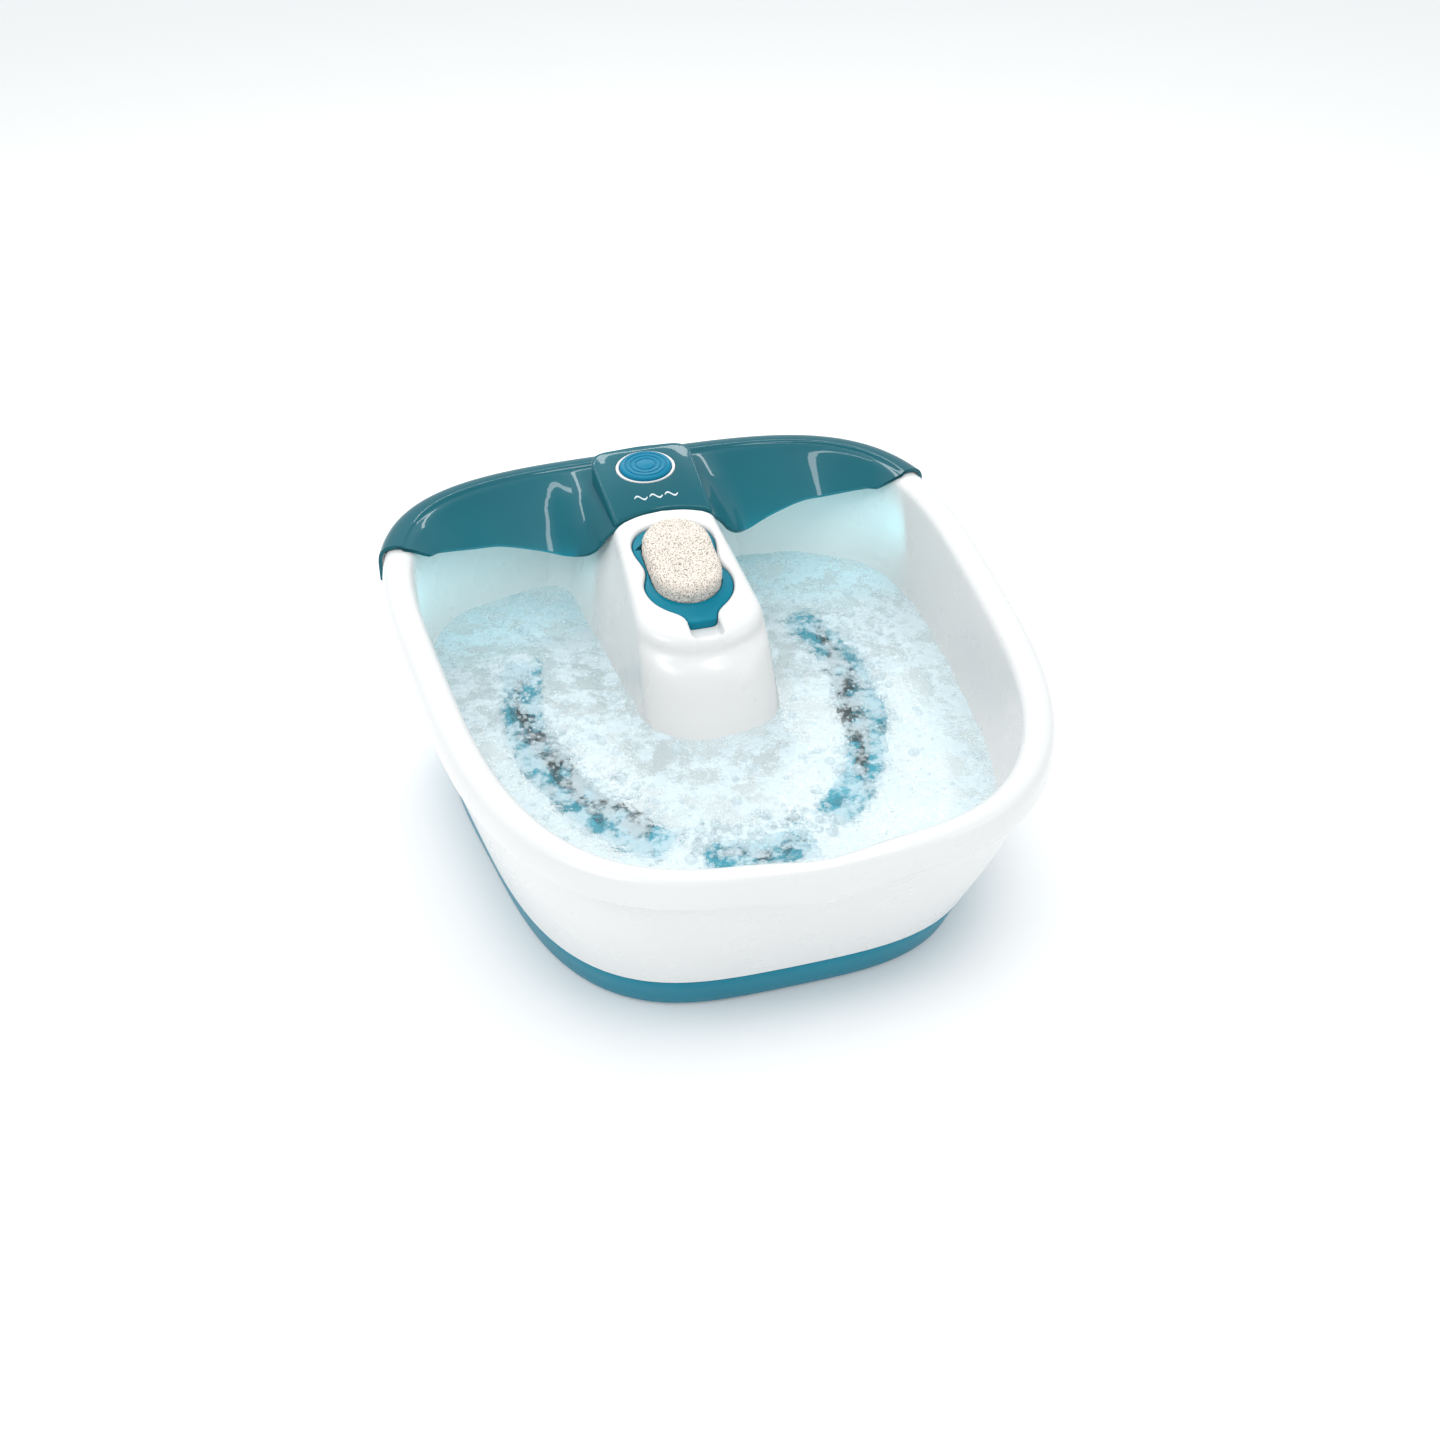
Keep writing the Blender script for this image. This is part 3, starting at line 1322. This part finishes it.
class FOOTBATH_OT_water(bpy.types.Operator):
    """Fill the basin with bubbling water up to the water level"""
    bl_idname = "footbath.water"
    bl_label = "Bubbling water"

    def execute(self, context):
        sizes = context.scene.foot_bath_sizes
        random.seed(7)
        level = sizes.water_level / MM
        wave = sizes.wave_height / MM
        rings = []
        for k in range(46):
            scale = 1 - k / 46
            ring = []
            for t in ANGLES[::2]:
                edge = wall_point(t, *WATER_EDGE)
                place = Vector((edge.x * scale, edge.y * scale, 0))
                swell = noise.noise(place * 0.045) + 0.5 * noise.noise(place * 0.11 + Vector((9, 4, 0)))
                fine = 0.3 * noise.noise(place * 0.3)
                ring.append(Vector((place.x, place.y, level + wave * (swell + fine))))
            rings.append(ring)
        surface = placed_grid("water_surface", rings, True)
        close_up(surface, fill=False)
        choose(surface)
        bpy.ops.object.shade_smooth()
        surface.data.materials.append(water_material(context))
        self.bubbles(context, level, sizes.bubbles)
        return {"FINISHED"}

    def bubbles(self, context, level, count):
        """Beads of air on the surface, thickest over the strips and in a row towards the front."""
        deselect()
        bpy.ops.mesh.primitive_ico_sphere_add(subdivisions=2, radius=MM)
        bead = bpy.context.object
        choose(bead)
        bpy.ops.object.shade_smooth()
        beads = []
        reach = {}
        for t in ANGLES:
            wall = wall_point(t, *WATER_EDGE)
            key = bearing(wall.x, wall.y)
            reach[key] = min(reach.get(key, 999), math.hypot(wall.x, wall.y))
        over_strips = along(CHANNEL, 40)
        while len(beads) < count:
            kind = random.random()
            if kind < 0.4:
                sign = random.choice((-1, 1))
                place = random.choice(over_strips)
                x, y = sign * place.x + random.gauss(0, 9), place.y + random.gauss(0, 9)
            elif kind < 0.6:
                x, y = random.uniform(-48, 40), random.gauss(-100, 9)
            else:
                x, y = random.uniform(-145, 145), random.uniform(-180, 150)
            if math.hypot(x, y) > reach[bearing(x, y)] - BEAD_MARGIN:
                continue
            if in_tower(x, y, 5):
                continue
            radius = min(3.6, 0.6 + random.expovariate(1.5))
            copy = bead.copy()
            copy.data = bead.data.copy()
            bpy.context.collection.objects.link(copy)
            copy.location = spot((x, y, level + radius * random.uniform(-0.2, 0.25)))
            copy.scale = (radius, radius, radius * 0.8)
            beads.append(copy)
        bpy.data.objects.remove(bead)
        froth = joined(beads)
        froth.name = "bubbles"
        choose(froth)
        bpy.ops.object.transform_apply(location=True, rotation=True, scale=True)
        froth.data.materials.append(bubble_material(context))
        return froth


# The studio, in metres

BATH_MIDDLE = (0, 0, 0.08)
CAMERA_PLACE = (-0.2541, -0.88155, 0.774)
CAMERA_AIM = (-0.00117, -0.01054, 0.086)
CAMERA_LENS = 49.36


def facing(place, aim):
    """The rotation that points a lamp or camera from its place at its aim."""
    return (Vector(aim) - Vector(place)).to_track_quat("-Z", "Y").to_euler()


class FOOTBATH_OT_studio(bpy.types.Operator):
    """Set a pale floor, soft lights and the camera round the foot bath"""
    bl_idname = "footbath.studio"
    bl_label = "Studio"

    def execute(self, context):
        deselect()
        bpy.ops.mesh.primitive_plane_add(size=16, location=(0, 0, 0))
        floor = context.object
        floor.name = "studio_floor"
        material, _, shader = new_material("studio_floor")
        shader.inputs["Base Color"].default_value = (0.93, 0.93, 0.93, 1)
        shader.inputs["Roughness"].default_value = 0.8
        shader.inputs["Emission Color"].default_value = (1, 1, 1, 1)
        shader.inputs["Emission Strength"].default_value = 0.12
        floor.data.materials.append(material)
        world = bpy.data.worlds.new("studio")
        world.use_nodes = True
        sky = world.node_tree.nodes["Background"]
        sky.inputs["Color"].default_value = (0.95, 0.985, 1, 1)
        sky.inputs["Strength"].default_value = context.scene.foot_bath_sizes.daylight
        context.scene.world = world
        context.scene.view_settings.view_transform = "Standard"
        self.softbox("key", (-0.9, -0.55, 1.25), BATH_MIDDLE, (0.7, 0.7), 5)
        self.softbox("fill", (1.2, -0.9, 0.9), BATH_MIDDLE, (0.9, 0.7), 2)
        self.softbox("back_strip", (0.0, 0.75, 0.85), BATH_MIDDLE, (1.2, 0.06), 3)
        self.softbox("top", (0.15, 0.05, 1.3), BATH_MIDDLE, (1.7, 0.06), 4)
        for sign in (-1, 1):
            self.glow(sign)
        self.camera(context)
        return {"FINISHED"}

    def softbox(self, name, place, aim, size, watts):
        deselect()
        bpy.ops.object.light_add(type="AREA", location=place)
        lamp = bpy.context.object
        lamp.name = name
        lamp.data.shape = "RECTANGLE"
        lamp.data.size, lamp.data.size_y = size
        lamp.data.energy = watts
        lamp.rotation_euler = facing(place, aim)
        return lamp

    def glow(self, sign):
        """Light that seems to come down through the glassy guard and tints the wall below it."""
        place, aim = (sign * 0.1, 0.112, 0.122), (sign * 0.115, 0.2, 0.085)
        lamp = self.softbox("guard_glow", place, aim, (0.09, 0.02), 0.014)
        lamp.data.color = (0.25, 0.9, 1)
        lamp.visible_camera = False

    def camera(self, context):
        deselect()
        bpy.ops.object.camera_add(location=CAMERA_PLACE)
        camera = context.object
        camera.data.lens = CAMERA_LENS
        camera.data.sensor_width = 36
        camera.rotation_euler = facing(CAMERA_PLACE, CAMERA_AIM)
        context.scene.camera = camera


# Settings, panel and registration

def colour(name, description, value):
    return bpy.props.FloatVectorProperty(
        name=name, description=description, default=value, subtype="COLOR", size=3, min=0, max=1,
    )


def length(name, description, value, low=0.0, high=0.2):
    return bpy.props.FloatProperty(
        name=name, description=description, default=value, min=low, max=high,
        subtype="DISTANCE", unit="LENGTH", precision=4,
    )


class FootBathColours(bpy.types.PropertyGroup):
    pearl: colour("Pearl white", "Colour of the basin and outer body", (0.8, 0.8, 0.795))
    teal: colour("Teal", "Colour of the base pan and stone holder", (0.0, 0.205, 0.3))
    guard: colour("Glassy teal", "Colour of the splash guard", (0.0, 0.105, 0.138))
    strip: colour("Strip teal", "Colour of the kneading strips", (0.0, 0.33, 0.44))
    button: colour("Button teal", "Colour of the toe button", (0.0, 0.2, 0.34))
    print: colour("Print", "Colour of the printed sign", (0.7, 0.76, 0.78))
    pumice: colour("Pumice", "Colour of the stone", (0.86, 0.78, 0.7))
    pumice_speck: colour("Pumice specks", "Colour of the stone's dark specks", (0.2, 0.15, 0.13))
    steel: colour("Steel", "Colour of screws, shaft and spring", (0.56, 0.57, 0.58))
    black: colour("Black plastic", "Colour of the blower housing and switch", (0.012, 0.012, 0.013))
    rubber: colour("Rubber", "Colour of the feet, hose and gland", (0.03, 0.03, 0.032))
    natural: colour("Natural plastic", "Colour of the impeller and air manifold", (0.66, 0.64, 0.58))
    ferrite: colour("Ferrite", "Colour of the magnets", (0.04, 0.038, 0.036))
    copper: colour("Copper", "Colour of the windings", (0.62, 0.26, 0.12))
    board: colour("Circuit board", "Colour of the rectifier board", (0.02, 0.14, 0.05))
    water: colour("Water", "Tint of the water", (0.78, 0.93, 0.97))
    foam: colour("Froth", "Colour of froth and bubbles", (0.68, 0.81, 0.86))


class FootBathSizes(bpy.types.PropertyGroup):
    floor_fillet: length("Floor fillet", "Rounding where the tower meets the floor", 0.005)
    wall_fillet: length("Wall fillet", "Rounding where the tower meets the back wall", 0.016)
    pocket_lip: length("Recess lip", "Rounding of the stone recess's edge", 0.002)
    panel_edge: length("Panel edge", "Rounding of the control panel's upper edge", 0.002)
    pore_depth: length("Pore depth", "Depth of the pores in the pumice stone", 0.0007, high=0.005)
    water_level: length("Water level", "Height of the water above the table", 0.078)
    wave_height: length("Wave height", "Height of the ripples", 0.0016, high=0.02)
    bubbles: bpy.props.IntProperty(
        name="Bubbles", description="Number of bubbles on the water", default=1300, min=0, max=3000,
    )
    daylight: bpy.props.FloatProperty(
        name="Daylight", description="Brightness of the studio's surroundings", default=0.8, min=0, max=5,
    )


STEPS = [
    FOOTBATH_OT_basin, FOOTBATH_OT_guard, FOOTBATH_OT_button, FOOTBATH_OT_spring, FOOTBATH_OT_stone,
    FOOTBATH_OT_body, FOOTBATH_OT_strips, FOOTBATH_OT_works, FOOTBATH_OT_water, FOOTBATH_OT_studio,
]


class FOOTBATH_PT_panel(bpy.types.Panel):
    """Sizes, colours and a button for each piece"""
    bl_label = "Foot bath"
    bl_idname = "FOOTBATH_PT_panel"
    bl_space_type = "VIEW_3D"
    bl_region_type = "UI"
    bl_category = "Foot bath"

    def draw(self, context):
        for settings in (context.scene.foot_bath_sizes, context.scene.foot_bath_colours):
            box = self.layout.box()
            for key in settings.__annotations__:
                box.prop(settings, key)
        for step in STEPS:
            self.layout.operator(step.bl_idname)


CLASSES = [FootBathColours, FootBathSizes, *STEPS, FOOTBATH_PT_panel]


def register():
    for part in CLASSES:
        bpy.utils.register_class(part)
    bpy.types.Scene.foot_bath_colours = bpy.props.PointerProperty(type=FootBathColours)
    bpy.types.Scene.foot_bath_sizes = bpy.props.PointerProperty(type=FootBathSizes)


def unregister():
    del bpy.types.Scene.foot_bath_sizes
    del bpy.types.Scene.foot_bath_colours
    for part in reversed(CLASSES):
        bpy.utils.unregister_class(part)


def main():
    register()
    for step in STEPS:
        group, name = step.bl_idname.split(".")
        getattr(getattr(bpy.ops, group), name)()


if __name__ == "__main__":
    main()
